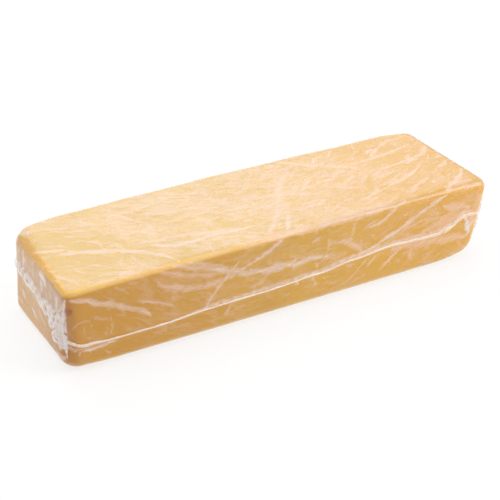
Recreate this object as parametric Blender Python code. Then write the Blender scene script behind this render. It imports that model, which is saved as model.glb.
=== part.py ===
"""A long block of cheddar sealed in clear shrink film, as one closed solid.

Metres, +Z up. The block lies along X on Z = 0, with the middle of its base at
the origin. The long side with the film's seam faces -Y.
"""
import math

import bmesh
import bpy
from mathutils import Matrix, Vector

MM = 0.001

# Size of the block
LENGTH = 328.0 * MM
WIDTH = 99.5 * MM
HEIGHT = 64.1 * MM
HALF = Vector((LENGTH / 2, WIDTH / 2, HEIGHT / 2))
CENTRE_SHIFT = Vector((-0.26, 0.19, 0.0)) * MM

# Roundings: along the long edges, and at each corner by the signs of x, y and z
TOP_EDGE_RADIUS = 4.6 * MM
LOW_EDGE_RADIUS = 9.8 * MM
CORNER_RADIUS = {
    (-1, -1, -1): 12.4 * MM,
    (-1, -1, 1): 5.5 * MM,
    (-1, 1, -1): 3.5 * MM,
    (-1, 1, 1): 11.2 * MM,
    (1, -1, -1): 17.7 * MM,
    (1, -1, 1): 7.8 * MM,
    (1, 1, -1): 13.0 * MM,
    (1, 1, 1): 10.3 * MM,
}
END_ZONE = 36.0 * MM

# How far the sides lean out from base to top, and how much the block tapers and swells
LEAN_LEFT = -2.6 * MM
LEAN_RIGHT = 0.9 * MM
LEAN_FRONT = 2.95 * MM
LEAN_BACK = 1.15 * MM
WIDTH_TAPER = 0.0105
HEIGHT_TAPER = 0.0074
WIDTH_SWELL = 0.0155
HEIGHT_SWELL = 0.0167

# Gentle unevenness of the cut sides
WAVE_DEPTH = 0.3 * MM
WAVE_LENGTH = 71.0 * MM
WAVE_FADE = 0.3

# Film seam: its height above the base along the front, left to right, and its low form
SEAM_COURSE = (
    (-164, 25.5), (-150, 20.8), (-130, 19.8), (-100, 20.0), (-60, 21.8), (-20, 22.4),
    (20, 24.2), (50, 28.0), (80, 30.3), (120, 29.0), (132, 31.8), (143, 38.4), (164, 37.0),
)
SEAM_RIM = 1.3 * MM
SEAM_FLAP = 5.2 * MM
SEAM_PROUD = 1.0 * MM
FLAP_PROUD = 0.45 * MM
FLAP_GROWS = (-90.0 * MM, -40.0 * MM)
BACK_CREASE_PROUD = 0.7 * MM
BACK_CREASE_WIDTH = 1.6 * MM

# Gathered film across each end: its height, half width, crossing folds and lobes by the front
GATHER_HIGH = 38.0 * MM
GATHER_HALF_WIDTH = 7.5 * MM
GATHER_WANDER = 1.5 * MM
GATHER_PROUD = 2.5 * MM
GATHER_PROUD_AT_EDGE = 0.8 * MM
GATHER_REACH = 4.0 * MM
FOLD_DEPTH = 0.8 * MM
FOLD_PITCH = 8.3 * MM
FOLD_SLANT = 0.8
LOBE_DROP = 9.0 * MM
LOBE_PITCH = 8.0 * MM
LOBE_DEPTH = 2.6 * MM
LOBE_GROWS_OVER = 9.0 * MM
LEFT_LOBES_FROM = -14.0 * MM
RIGHT_LOBES_FROM = -22.0 * MM

# Foot: the flat of the underside that touches the shelf, pressed a little below the rest
FOOT_INSET_X = 16.5 * MM
FOOT_INSET_Y = 13.5 * MM
FOOT_STEP = 0.15 * MM
FOOT_WAIST = 0.002

# How deep the film's raised forms are rooted in the block before they are fused to it
BURIED = 0.6 * MM
ROOT_DEPTH = 3.0 * MM
SLIVER = 0.03 * MM

# Spacing of the mesh
EDGE_STEPS = (1.5, 3.5, 6.0, 9.5, 14.0)
END_STEPS = (2.0, 4.5, 8.0, 12.0, 17.0)
FACE_SPACING = 10.5 * MM

FILM_OVER_CHEESE = (0.90, 0.62, 0.28, 1.0)


def smooth(share):
    share = min(max(share, 0.0), 1.0)
    return share * share * (3.0 - 2.0 * share)


def mix(first, second, share):
    return first + (second - first) * share


def edge_radius(x, y, z):
    """Rounding at a place: small along the long edges, growing towards each corner."""
    back = smooth(y / WIDTH + 0.5)
    up = smooth(z / HEIGHT + 0.5)
    end = 1 if x > 0 else -1
    low = mix(CORNER_RADIUS[end, -1, -1], CORNER_RADIUS[end, 1, -1], back)
    high = mix(CORNER_RADIUS[end, -1, 1], CORNER_RADIUS[end, 1, 1], back)
    along = mix(LOW_EDGE_RADIUS, TOP_EDGE_RADIUS, up)
    near_end = smooth((abs(x) - HALF.x + END_ZONE) / END_ZONE)
    return mix(along, mix(low, high, up), near_end)


def unevenness(x, y, z):
    """Slow waves over the sides and the top, none at the base."""
    turn = 2.0 * math.pi / WAVE_LENGTH
    wave = math.sin(turn * (x + 0.6 * y)) + math.sin(turn * (0.7 * y - 0.9 * z + 0.4 * x) + 1.3)
    return WAVE_DEPTH * 0.5 * wave * smooth((z / HEIGHT + 0.5) / WAVE_FADE)


def on_block(x, y, z, lift=0.0):
    """Carry a point of the sharp box, measured from its middle, to the block's skin."""
    radius = edge_radius(x, y, z)
    point = Vector((x, y, z))
    core = Vector([min(max(c, radius - half), half - radius) for c, half in zip(point, HALF)])
    outward = (point - core).normalized()
    skin = core + outward * (radius + lift + unevenness(x, y, z))
    along = skin.x / HALF.x
    across = skin.y / HALF.y
    up = skin.z / HALF.z
    swell = 1.0 - min(abs(along), 1.0) ** 2
    side_lean = LEAN_BACK if across > 0 else -LEAN_FRONT
    end_lean = LEAN_RIGHT if along > 0 else -LEAN_LEFT
    px = skin.x + abs(along) * end_lean * up / 2
    py = skin.y * (1.0 + WIDTH_TAPER * along) * (1.0 + WIDTH_SWELL * swell)
    py += abs(across) * side_lean * up / 2
    pz = (skin.z + HALF.z) * (1.0 + HEIGHT_TAPER * along) * (1.0 + HEIGHT_SWELL * swell)
    return Vector((px, py, pz + FOOT_STEP)) + CENTRE_SHIFT


def on_foot(x, y, half_length, half_width):
    """A point of the foot, whose four sides draw in a little between its corners."""
    px = x * (1.0 - FOOT_WAIST * (1.0 - (y / half_width) ** 2))
    py = y * (1.0 - FOOT_WAIST * (1.0 - (x / half_length) ** 2))
    return Vector((px, py, 0.0)) + CENTRE_SHIFT


def cut_box(name, cuts, place):
    """A unit box cut at the given shares of its three sides, each point moved by place."""
    mesh = bpy.data.meshes.new(name)
    shape = bmesh.new()
    bmesh.ops.create_cube(shape, size=1.0, matrix=Matrix.Translation((0.5, 0.5, 0.5)))
    for axis, shares in enumerate(cuts):
        normal = Vector((0.0, 0.0, 0.0))
        normal[axis] = 1.0
        for share in shares:
            everything = shape.verts[:] + shape.edges[:] + shape.faces[:]
            bmesh.ops.bisect_plane(
                shape, geom=everything, dist=1e-6, plane_co=normal * share, plane_no=normal
            )
    bmesh.ops.triangulate(shape, faces=shape.faces[:])
    for vertex in shape.verts:
        vertex.co = place(*vertex.co)
    bmesh.ops.recalc_face_normals(shape, faces=shape.faces[:])
    shape.to_mesh(mesh)
    shape.free()
    return bpy.data.objects.new(name, mesh)


def even_cuts(count):
    return [(i + 1) / count for i in range(count - 1)]


def face_cuts(length, edge_steps):
    """Shares along one side: close together near both edges, even between them."""
    near = [step * MM / length for step in edge_steps]
    middle = 1.0 - 2.0 * near[-1]
    count = max(1, round(middle * length / FACE_SPACING))
    between = [near[-1] + middle * share for share in even_cuts(count)]
    return near + between + [1.0 - share for share in reversed(near)]


def seam_height(x):
    """Height of the seam's lower edge above the base, smooth between its named places."""
    for (x0, z0), (x1, z1) in zip(SEAM_COURSE, SEAM_COURSE[1:]):
        if x <= x1 * MM:
            return mix(z0, z1, smooth((x / MM - x0) / (x1 - x0))) * MM
    return SEAM_COURSE[-1][1] * MM


def make_block():
    cuts = (
        face_cuts(LENGTH, END_STEPS),
        face_cuts(WIDTH, EDGE_STEPS),
        face_cuts(HEIGHT, EDGE_STEPS),
    )

    foot_length = HALF.x - FOOT_INSET_X
    foot_width = HALF.y - FOOT_INSET_Y

    def place(u, v, w):
        x, y, z = (u - 0.5) * LENGTH, (v - 0.5) * WIDTH, (w - 0.5) * HEIGHT
        if w <= 0.0 and abs(x) <= foot_length and abs(y) <= foot_width:
            return on_foot(x, y, foot_length, foot_width)
        return on_block(x, y, z)

    return cut_box("wrapped_cheddar", cuts, place)


def make_front_seam():
    """The fused rim of the film along the front, with the trimmed flap lying above it."""
    rim_share = SEAM_RIM / (SEAM_RIM + SEAM_FLAP)

    def place(u, v, w):
        x = (u - 0.5) * LENGTH
        grown = smooth((x - FLAP_GROWS[0]) / (FLAP_GROWS[1] - FLAP_GROWS[0]))
        flap = SEAM_FLAP * mix(0.25, 1.0, grown)
        z = seam_height(x)
        if v <= rim_share:
            z += SEAM_RIM * v / rim_share
        else:
            z += SEAM_RIM + flap * (v - rim_share) / (1.0 - rim_share)
        lift = -ROOT_DEPTH
        if w > 0.5:
            if v <= 0.0 or v >= 1.0:
                lift = -BURIED
            elif v <= rim_share:
                lift = SEAM_PROUD
            else:
                lift = FLAP_PROUD
        return on_block(x, -HALF.y, z - HALF.z, lift)

    along = even_cuts(round(LENGTH / (4.5 * MM)))
    across = (0.3 * rim_share, rim_share, rim_share * 1.9, 0.93)
    return cut_box("front_seam", (along, across, ()), place)


def make_back_crease():
    """The crease of the film along the back, from one end's gather to the other's."""

    def place(u, v, w):
        x = (u - 0.5) * LENGTH
        z = mix(GATHER_HIGH, SEAM_COURSE[-1][1] * MM, u) + BACK_CREASE_WIDTH * v
        lift = -ROOT_DEPTH if w < 0.5 else (BACK_CREASE_PROUD if 0.0 < v < 1.0 else -BURIED)
        return on_block(x, HALF.y, z - HALF.z, lift)

    along = even_cuts(round(LENGTH / (9.0 * MM)))
    return cut_box("back_crease", (along, (0.3, 0.7), ()), place)


def gather_edges(y, lobes_from):
    """Lower and upper edge of a gather where it crosses the end at y."""
    middle = GATHER_HIGH + GATHER_WANDER * math.sin(y / (13.0 * MM))
    lobed = smooth((lobes_from - y) / LOBE_GROWS_OVER)
    lobe = LOBE_DROP + LOBE_DEPTH * math.sin(2.0 * math.pi * (lobes_from - y) / LOBE_PITCH)
    lower = middle - GATHER_HALF_WIDTH - lobe * lobed
    upper = middle + GATHER_HALF_WIDTH + 0.3 * LOBE_DROP * lobed
    return lower, upper


def gather_folds(y, z):
    """Uneven slanting folds across a gather, from -1 to 1."""
    turn = 2.0 * math.pi
    slant = (y + FOLD_SLANT * (z - GATHER_HIGH)) / FOLD_PITCH
    bend = 0.27 * math.sin(turn * y / (31.0 * MM)) + 0.14 * math.sin(turn * z / (11.0 * MM))
    strength = 0.65 + 0.35 * math.sin(turn * y / (19.0 * MM) + 0.7)
    return strength * math.sin(turn * (slant + bend))


def make_gather(name, end, lobes_from):
    """The bunched film across one end: a folded band with lobes on its lower edge by the front."""

    def place(u, v, w):
        y = (u - 0.5) * (WIDTH + 2.0 * GATHER_REACH)
        lower, upper = gather_edges(y, lobes_from)
        z = mix(lower, upper, v)
        turned = max(0.0, abs(y) - HALF.y)
        lift = -ROOT_DEPTH
        if w > 0.5:
            crown = 1.0 - (2.0 * v - 1.0) ** 2
            proud = mix(GATHER_PROUD, GATHER_PROUD_AT_EDGE, min(1.0, abs(y) / HALF.y) ** 4)
            fade = 1.0 - smooth(turned / GATHER_REACH)
            lift = (proud + FOLD_DEPTH * gather_folds(y, z)) * crown * fade - BURIED
        across = max(-HALF.y, min(HALF.y, y))
        return on_block(end * (HALF.x - turned), across, z - HALF.z, lift)

    across_end = even_cuts(round((WIDTH + 2.0 * GATHER_REACH) / (2.1 * MM)))
    return cut_box(name, (across_end, even_cuts(8), ()), place)


def clean(mesh):
    """Close up the slivers that fusing leaves, and split every face into triangles."""
    shape = bmesh.new()
    shape.from_mesh(mesh)
    bmesh.ops.dissolve_degenerate(shape, edges=shape.edges[:], dist=SLIVER)
    bmesh.ops.triangulate(shape, faces=shape.faces[:])
    shape.to_mesh(mesh)
    shape.free()


def join(block, additions):
    """Fuse the additions into the block as one body, and drop the loose copies."""
    fuse = block.modifiers.new("fuse_film", "BOOLEAN")
    fuse.operation = "UNION"
    fuse.operand_type = "COLLECTION"
    fuse.collection = additions
    bpy.context.view_layer.objects.active = block
    bpy.ops.object.modifier_apply(modifier=fuse.name)
    for piece in list(additions.objects):
        bpy.data.objects.remove(piece)
    bpy.data.collections.remove(additions)
    clean(block.data)


def film_material():
    material = bpy.data.materials.new("film_over_cheese")
    material.use_nodes = True
    shader = material.node_tree.nodes["Principled BSDF"]
    shader.inputs["Base Color"].default_value = FILM_OVER_CHEESE
    shader.inputs["Roughness"].default_value = 0.3
    shader.inputs["Metallic"].default_value = 0.0
    return material


def main():
    for old in list(bpy.data.objects):
        bpy.data.objects.remove(old)
    parts = bpy.data.collections.new("cheddar_block")
    additions = bpy.data.collections.new("film_relief")
    for collection in (parts, additions):
        bpy.context.scene.collection.children.link(collection)

    block = make_block()
    parts.objects.link(block)
    pieces = (
        make_front_seam(),
        make_back_crease(),
        make_gather("left_gather", -1, LEFT_LOBES_FROM),
        make_gather("right_gather", 1, RIGHT_LOBES_FROM),
    )
    for piece in pieces:
        additions.objects.link(piece)
        piece.hide_render = True
        piece.display_type = "WIRE"
    join(block, additions)
    block.data.materials.append(film_material())
    block.data.shade_smooth()
    block.data.set_sharp_from_angle(angle=math.radians(40))


main()
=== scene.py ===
"""The looks of a long cheddar block in clear shrink film: the cheese and the film over it."""
import math

import bmesh
import bpy
import numpy as np
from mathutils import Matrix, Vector


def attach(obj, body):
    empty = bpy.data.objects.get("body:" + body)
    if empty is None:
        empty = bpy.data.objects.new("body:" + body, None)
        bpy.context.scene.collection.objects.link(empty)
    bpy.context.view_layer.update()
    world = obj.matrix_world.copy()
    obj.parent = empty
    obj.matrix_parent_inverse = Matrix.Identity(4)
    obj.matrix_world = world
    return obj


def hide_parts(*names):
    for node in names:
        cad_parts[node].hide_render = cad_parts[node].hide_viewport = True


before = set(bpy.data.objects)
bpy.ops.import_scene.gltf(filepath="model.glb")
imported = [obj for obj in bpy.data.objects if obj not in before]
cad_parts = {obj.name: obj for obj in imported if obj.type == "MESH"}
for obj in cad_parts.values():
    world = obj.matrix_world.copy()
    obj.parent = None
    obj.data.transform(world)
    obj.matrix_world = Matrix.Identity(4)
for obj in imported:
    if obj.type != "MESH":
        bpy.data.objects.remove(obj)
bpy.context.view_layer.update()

NODE = "wrapped_cheddar"
MM = 0.001

# The block's size and form, in millimetres, as the solid has it
LENGTH = 328.0
WIDTH = 99.5
HEIGHT = 64.1
HALF = np.array((LENGTH, WIDTH, HEIGHT)) / 2
CENTRE_SHIFT = np.array((-0.26, 0.19, 0.0))
TOP_EDGE_RADIUS = 4.6
LOW_EDGE_RADIUS = 9.8
CORNER_RADIUS = {
    (-1, -1, -1): 12.4,
    (-1, -1, 1): 5.5,
    (-1, 1, -1): 3.5,
    (-1, 1, 1): 11.2,
    (1, -1, -1): 17.7,
    (1, -1, 1): 7.8,
    (1, 1, -1): 13.0,
    (1, 1, 1): 10.3,
}
END_ZONE = 36.0
LEAN_LEFT = -2.6
LEAN_RIGHT = 0.9
LEAN_FRONT = 2.95
LEAN_BACK = 1.15
WIDTH_TAPER = 0.0105
HEIGHT_TAPER = 0.0074
WIDTH_SWELL = 0.0155
HEIGHT_SWELL = 0.0167
WAVE_DEPTH = 0.3
WAVE_LENGTH = 71.0
WAVE_FADE = 0.3
FOOT_STEP = 0.15

# The film's seam along the front and its gathers across the ends, as the solid has them
SEAM_COURSE = (
    (-164, 25.5), (-150, 20.8), (-130, 19.8), (-100, 20.0), (-60, 21.8), (-20, 22.4),
    (20, 24.2), (50, 28.0), (80, 30.3), (120, 29.0), (132, 31.8), (143, 38.4), (164, 37.0),
)
SEAM_RIM = 1.3
SEAM_FLAP = 5.2
FLAP_GROWS = (-90.0, -40.0)
GATHER_HIGH = 38.0
GATHER_HALF_WIDTH = 7.5
GATHER_WANDER = 1.5
GATHER_PROUD = 2.5
GATHER_PROUD_AT_EDGE = 0.8
GATHER_REACH = 4.0
FOLD_DEPTH = 0.8
FOLD_PITCH = 8.3
FOLD_SLANT = 0.8
LOBES = ((-12.8, 30.1, 9.5, 4.4), (-19.8, 23.5, 9.5, 5.2))
LOBE_SLANT = math.radians(-31.3)
LOBE_LOW = 13.0
LOBE_RISE = 2.7
CORNER_DROP = 12.0
LEFT_LOBES_FROM = -14.0
RIGHT_LOBES_FROM = -20.0

# How far the cheese lies inside the solid's skin, and how the film lies on it: how high it rises in a
# full air wrinkle, and its small waves between them
CHEESE_INSET = 0.4
WRINKLE_RISE = 0.18
FILM_WAVES = 0.05
FILM_WAVE_LENGTH = 9.0

# How far apart the points of the film and of the cheese are
FILM_SPACING = 1.2
CHEESE_SPACING = 2.6

# The seam rim's thickness along x against its usual one, its greatest height and how far it is sunk
# in, where the flap starts and ends, and the size of the crease along the back
RIM_THICKNESS = (
    (-164, 2.0), (-148, 1.6), (-138, 1.0), (20, 0.9), (60, 1.2), (110, 1.6), (136, 2.1), (145, 1.9),
    (164, 1.2),
)
RIM_HIGHEST = 0.98
RIM_SUNK = 0.1
FLAP_ENDS = (-120.0, 160.0)
CREASE_HALF_WIDTH = 0.8
CREASE_HIGH = 0.65
CREASE_SUNK = 0.05

# The faces of the sharp box: the axis that each looks along, and which way
TOP = (2, 1)
UNDER = (2, -1)
FRONT = (1, -1)
BACK = (1, 1)
LEFT = (0, -1)
RIGHT = (0, 1)

# A point this near a face's plane is on it, and one that a face's map doesn't reach is put far off
ON_FACE = 1e-3
FAR_OFF = 1e6

# Uneven waves: several to an octave, each octave shorter and weaker, their sum brought to about 1
WAVES_PER_OCTAVE = 3
OCTAVE_SHORTER = 1.9
OCTAVE_WEAKER = 0.6
WAVES_TO_ONE = 3.4

# Which way the film's pull runs at places along x, in degrees: its streaks fan out from the middle
HEADINGS = ((-164, -30), (-60, -17), (0, 0), (60, 16), (164, 27))
# How far off in the haze's pattern the ends take theirs, so that it doesn't repeat the sides'
ENDS_APART = 400.0

# Scattered wrinkles: where they lie along, across and up the block, how many degrees they stray from
# the pull, and how far they bend, as a share of their length
ALONG = (-164.0, 164.0)
ACROSS = (-49.0, 49.0)
UP = (6, 60)
HEADING_SPREAD = 14.0
BEND_SPREAD = 0.14

# A wrinkle's outline: how it tapers to its ends, how uneven its width is, and how far in from its
# edge its crest starts
TAPER_POWER = 0.35
LEAST_TAPER = 0.45
UNEVEN_WIDTH = 0.15
CREST_FROM = 0.6

# Whiteness of the film clear of every wrinkle, and the most that it has on the top
WHITE_BETWEEN = 0.3
WHITEST_ON_TOP = 0.66

# How much fine haze the film carries: on the top and the sides along x, on the ends by height
HAZE_TOP = (
    (-164, 0.26), (-135, 0.42), (-100, 0.82), (-40, 0.88), (30, 0.86), (75, 0.72), (110, 0.40),
    (164, 0.30),
)
HAZE_SIDE = (
    (-164, 0.02), (-100, 0.38), (-60, 0.47), (20, 0.40), (90, 0.42), (130, 0.56), (164, 0.64),
)
HAZE_END = ((0, 0.05), (20, 0.10), (30, 0.45), (46, 1.0), (58, 0.85), (64, 0.3))
HAZE_UNDER = 0.40

# Colours of the cheese: deep and pale blotches, and what it turns to at each end, rim and corner, with
# painted light on its top and rim and painted shade to the left, in the corner and in a spot
CHEESE_DEEP = (0.675, 0.380, 0.042, 1.0)
CHEESE_PALE = (0.735, 0.435, 0.070, 1.0)
# The sides grow darker towards the left and lighter towards the right: painted shade and painted light
# for how the light falls along the block
CHEESE_SHADED_LEFT = (0.620, 0.285, 0.020, 1.0)
CHEESE_LIT_RIGHT = (0.770, 0.416, 0.046, 1.0)
# Painted shade: a deep brown on the front-left vertical corner
CHEESE_PAINTED_CORNER_SHADE = (0.500, 0.205, 0.012, 1.0)
# Painted light: a brighter orange glow along the rounded top edge, on the front and on the left end
CHEESE_PAINTED_RIM_LIGHT = (0.830, 0.548, 0.168, 1.0)
CHEESE_PAINTED_RIM_LIGHT_LEFT = (0.800, 0.470, 0.080, 1.0)
# The top's colours are a paler, lit copy of the cheese: painted light for the brighter light on the top
CHEESE_LIT_TOP_DEEP = (0.612, 0.402, 0.110, 1.0)
CHEESE_LIT_TOP_PALE = (0.655, 0.448, 0.152, 1.0)
CHEESE_LIT_TOP_RIGHT = (0.635, 0.375, 0.105, 1.0)
CHEESE_LIT_TOP_LEFT = (0.660, 0.446, 0.152, 1.0)
# Painted shadow: the dark reddish brown of a small spot that the film's ridges shade
CHEESE_PAINTED_SHADOW_SPOT = (0.40, 0.085, 0.000, 1.0)

# The painted shadow spot on the front near the left corner, where the film's ridges shade the cheese:
# its place in millimetres, then how jagged it is and where it ends, in metres
SHADOW_SPOT_ALONG = -162.2
SHADOW_SPOT_HIGH = 49.5
SHADOW_SPOT_JAGGED = 0.0055
SHADOW_SPOT_EDGE = (0.0042, 0.0068)

# Colours of the film where it is whitish: on the sides, in its whitest wrinkles, on the top as a dimmer
# copy that is painted shade, and where it is bunched at the ends as a grey that is painted shade, then
# those of its rim, flap and gathers
FILM_WARM = (1.0, 0.80, 0.69, 1.0)
FILM_WHITE = (0.96, 0.88, 0.84, 1.0)
# Painted shade: the film on the top is a dimmer, greyer copy, to offset the top's brighter light
FILM_SHADED_TOP = (0.81, 0.695, 0.72, 1.0)
# Painted shade: the grey of the shaded, crumpled film on the ends
FILM_SHADED_GREY = (0.74, 0.63, 0.50, 1.0)
FILM_RIM = (0.97, 0.90, 0.84, 1.0)
FILM_FLAP = (0.98, 0.87, 0.77, 1.0)
FILM_GATHER = (0.89, 0.87, 0.86, 1.0)
WHITE = (1.0, 1.0, 1.0, 1.0)

# The values over which a wrinkle's edge, its crest and the haze's veil come in
AIR_AT_EDGE = (0.29, 0.55)
AIR_AT_CREST = (0.60, 1.05)
LEVEL_OF_VEIL = (0.46, 0.92)
# The veil's strength where the film is bunched, and the size of the haze's threads in millimetres
BUNCHED_VEIL = 0.27
THREAD_LONG = 10.0
THREAD_WIDE = 4.0

# The film's gloss seen straight on, what a glancing angle adds to it, and how late that comes in
GLOSS_FACING = 0.04
GLOSS_GLANCING = 0.7
GLOSS_POWER = 5.0
# The depth of the bumps on cheese and film, in metres
BUMP_DEPTH = 0.0006

# Sockets of a colour mix node: how much and the two colours, then the colour that comes out
COLOUR_MIX_INPUTS = (0, 6, 7)
COLOUR_MIX_OUTPUT = 2

# The view of the photo: where the camera stands round the block's middle, and where it aims
VIEW_AZIMUTH = math.radians(-28.30)
VIEW_ELEVATION = math.radians(30.48)
VIEW_DISTANCE = 0.857
AIM_RIGHT = -0.00485
AIM_UP = -0.00647
FOCAL_LENGTH = 86.4
SENSOR_WIDTH = 36.0

# The floor, the lights with their place, aim, size and watts, and the room's own light
FLOOR_HALF = 6.0
FLOOR_GAP = 0.0001
FLOOR_PAINT = (0.22, 0.22, 0.22, 1.0)
FLOOR_GLOW = 0.76
LIGHTS = (
    ("overhead", (-0.15, 0.1, 1.3), (0.0, 0.0, 0.0), (1.5, 1.2), 8.8),
    ("behind", (0.2, 1.15, 0.80), (0.0, 0.0, 0.05), (1.9, 1.2), 9.5),
    ("front", (0.85, -0.6, 0.8), (0.05, 0.0, 0.03), (0.7, 0.6), 8.6),
    ("left", (-1.1, 0.1, 1.0), (-0.1, 0.0, 0.05), (1.0, 0.8), 3.9),
)
ROOM_LIGHT = 0.30

# Air wrinkles that stand out, by face: half width, whiteness, then the course over that face.
# Front and back count along x and up from the base, the top along x and y, the ends along y and up.
FRONT_WRINKLES = (
    (4.0, 0.62, (-160, 59), (-151, 56), (-140, 50.5), (-130, 46.5), (-120, 40), (-111, 37), (-105, 30)),
    (3.0, 0.60, (-122, 41), (-116, 38), (-110, 37)),
    (2.2, 0.55, (-116, 44.5), (-106, 41), (-96, 37), (-88, 32.5)),
    (4.6, 0.52, (-101, 54), (-96, 50), (-88, 46.5), (-80, 43.5), (-68, 41.5), (-56, 41), (-46, 43)),
    (4.0, 0.48, (-102, 63), (-93, 59), (-84, 55), (-75, 52.5), (-66, 49.5), (-58, 48)),
    (4.4, 0.55, (-90, 64), (-80, 60), (-70, 56), (-60, 53.5), (-50, 51), (-42, 47)),
    (3.0, 0.55, (-78, 64), (-70, 59), (-62, 55), (-52, 51)),
    (2.4, 0.60, (-64, 28), (-58, 36), (-51, 42.5), (-46, 49), (-41, 53.5)),
    (3.4, 0.50, (-66, 24), (-63, 29), (-61, 33)),
    (5.0, 0.72, (-64, 54), (-50, 49), (-42, 45), (-30, 41.5), (-15, 39.5), (0, 39), (15, 39), (27, 38)),
    (2.6, 0.65, (-39, 47), (-30, 50), (-20, 54), (-12, 60), (-5, 63), (4, 66)),
    (4.0, 0.50, (-64, 41), (-55, 41.5), (-48, 43)),
    (1.3, 0.30, (-36, 40), (-33, 34)),
    (2.4, 0.38, (-31, 29), (-24, 33), (-17, 37)),
    (1.8, 0.38, (-5, 47), (0, 45), (5, 43), (15, 43.5)),
    (1.6, 0.28, (-22, 48), (-12, 42)),
    (3.2, 0.50, (15.5, 52.5), (21, 54.5)),
    (2.0, 0.38, (17, 61), (18, 57)),
    (2.6, 0.50, (28, 42), (29, 47), (28, 52)),
    (3.2, 0.50, (29, 47), (38, 46.5), (50, 46)),
    (2.4, 0.48, (18, 37), (20, 30)),
    (2.2, 0.42, (22, 34), (35, 38)),
    (2.2, 0.38, (27, 31), (40, 35), (45, 37)),
    (2.2, 0.55, (16, 24), (18, 20), (19.5, 16.5)),
    (2.6, 0.60, (3, 23.5), (6, 21)),
    (3.0, 0.38, (-5, 15), (-1, 15)),
    (1.2, 0.32, (-10, 13), (-10, 8)),
    (2.2, 0.45, (-46, 21), (-48, 17), (-51, 13)),
    (1.3, 0.32, (-62, 12), (-50, 12.5), (-40, 16), (-30, 18), (-20, 19)),
    (2.2, 0.42, (25, 20), (29, 20.5)),
    (2.4, 0.42, (48, 59), (47, 53), (46, 48)),
    (4.2, 0.58, (38, 46), (46, 43), (52, 38), (56, 33)),
    (3.0, 0.42, (57, 52), (66, 56)),
    (1.6, 0.36, (60, 57), (62, 62)),
    (3.0, 0.62, (61, 51), (70, 52.5), (76, 56), (81, 61), (86, 64), (92, 67)),
    (2.2, 0.42, (56, 44), (52, 39)),
    (3.6, 0.72, (56, 32), (66, 35), (76, 38.5), (86, 42.5), (96, 48), (106, 53), (116, 58), (126, 61)),
    (2.6, 0.42, (62, 34), (70, 38), (73, 40)),
    (2.6, 0.44, (80, 36), (90, 40), (100, 44), (110, 45), (128, 43)),
    (3.0, 0.38, (90, 53), (92, 53)),
    (2.4, 0.42, (63, 44), (66, 43.5)),
    (2.8, 0.38, (102, 53), (106, 55)),
    (11.0, 0.44, (108, 36), (122, 38.5), (136, 40.5), (146, 43)),
    (6.5, 0.55, (124, 52), (134, 49), (147, 46)),
    (7.5, 0.50, (82, 28.5), (100, 27), (120, 24.5), (138, 23), (150, 21)),
    (2.8, 0.52, (73, 12.5), (78, 19), (86, 24), (91, 27.5)),
    (2.2, 0.48, (61, 19), (65, 23), (68, 28)),
    (2.0, 0.48, (38, 10), (46, 12), (52, 17), (58, 23), (62, 27)),
    (3.2, 0.42, (92, 21), (97, 21)),
    (3.8, 0.50, (99, 24), (98, 20), (100.5, 14)),
    (2.2, 0.38, (87, 16), (90, 15.5)),
    (3.0, 0.42, (44, 26), (49, 24)),
    (4.2, 1.00, (145.5, 38.5), (148, 33), (149.5, 28), (151, 23)),
    (6.5, 0.40, (147, 44), (152, 38), (156, 31)),
    (5.5, 0.62, (150.5, 38), (152, 33), (151.5, 27)),
    (3.0, 0.85, (128, 29.5), (135, 33), (140, 37.5), (146, 38.5)),
    (5.0, 0.42, (153, 57), (155, 51), (154, 45), (157, 39)),
    (4.0, 0.42, (152, 38), (156, 30)),
    (2.6, 0.38, (143, 27), (141, 20), (146, 10)),
    (2.0, 0.50, (-162, 23), (-157, 19.5), (-150, 18.3), (-143, 18.2), (-136, 18.6), (-126, 19.2)),
    (1.2, 0.80, (-162, 21), (-158, 18.0), (-152, 16.8), (-145, 16.7), (-138, 17.4), (-130, 18.4)),
    (1.6, 0.60, (-155, 18), (-154, 14.5)),
    (1.4, 0.55, (-148, 17), (-146.5, 14.4)),
    (1.4, 0.55, (-141, 17), (-139.5, 15)),
    (1.2, 0.34, (-160, 35), (-157, 39), (-152, 40.5), (-147, 39), (-146, 35)),
    (1.3, 0.30, (-150, 27), (-152, 33), (-150, 37)),
    (1.4, 0.36, (-133, 25), (-131, 31), (-133, 37)),
    (1.3, 0.30, (-137, 24), (-135, 30)),
    (2.2, 0.32, (-121, 60), (-112, 57)),
    (2.0, 0.30, (-130, 59), (-124, 56)),
    (3.4, 0.60, (-34, 63.5), (0, 62.5), (30, 62.5), (60, 62), (88, 63)),
)
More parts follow.
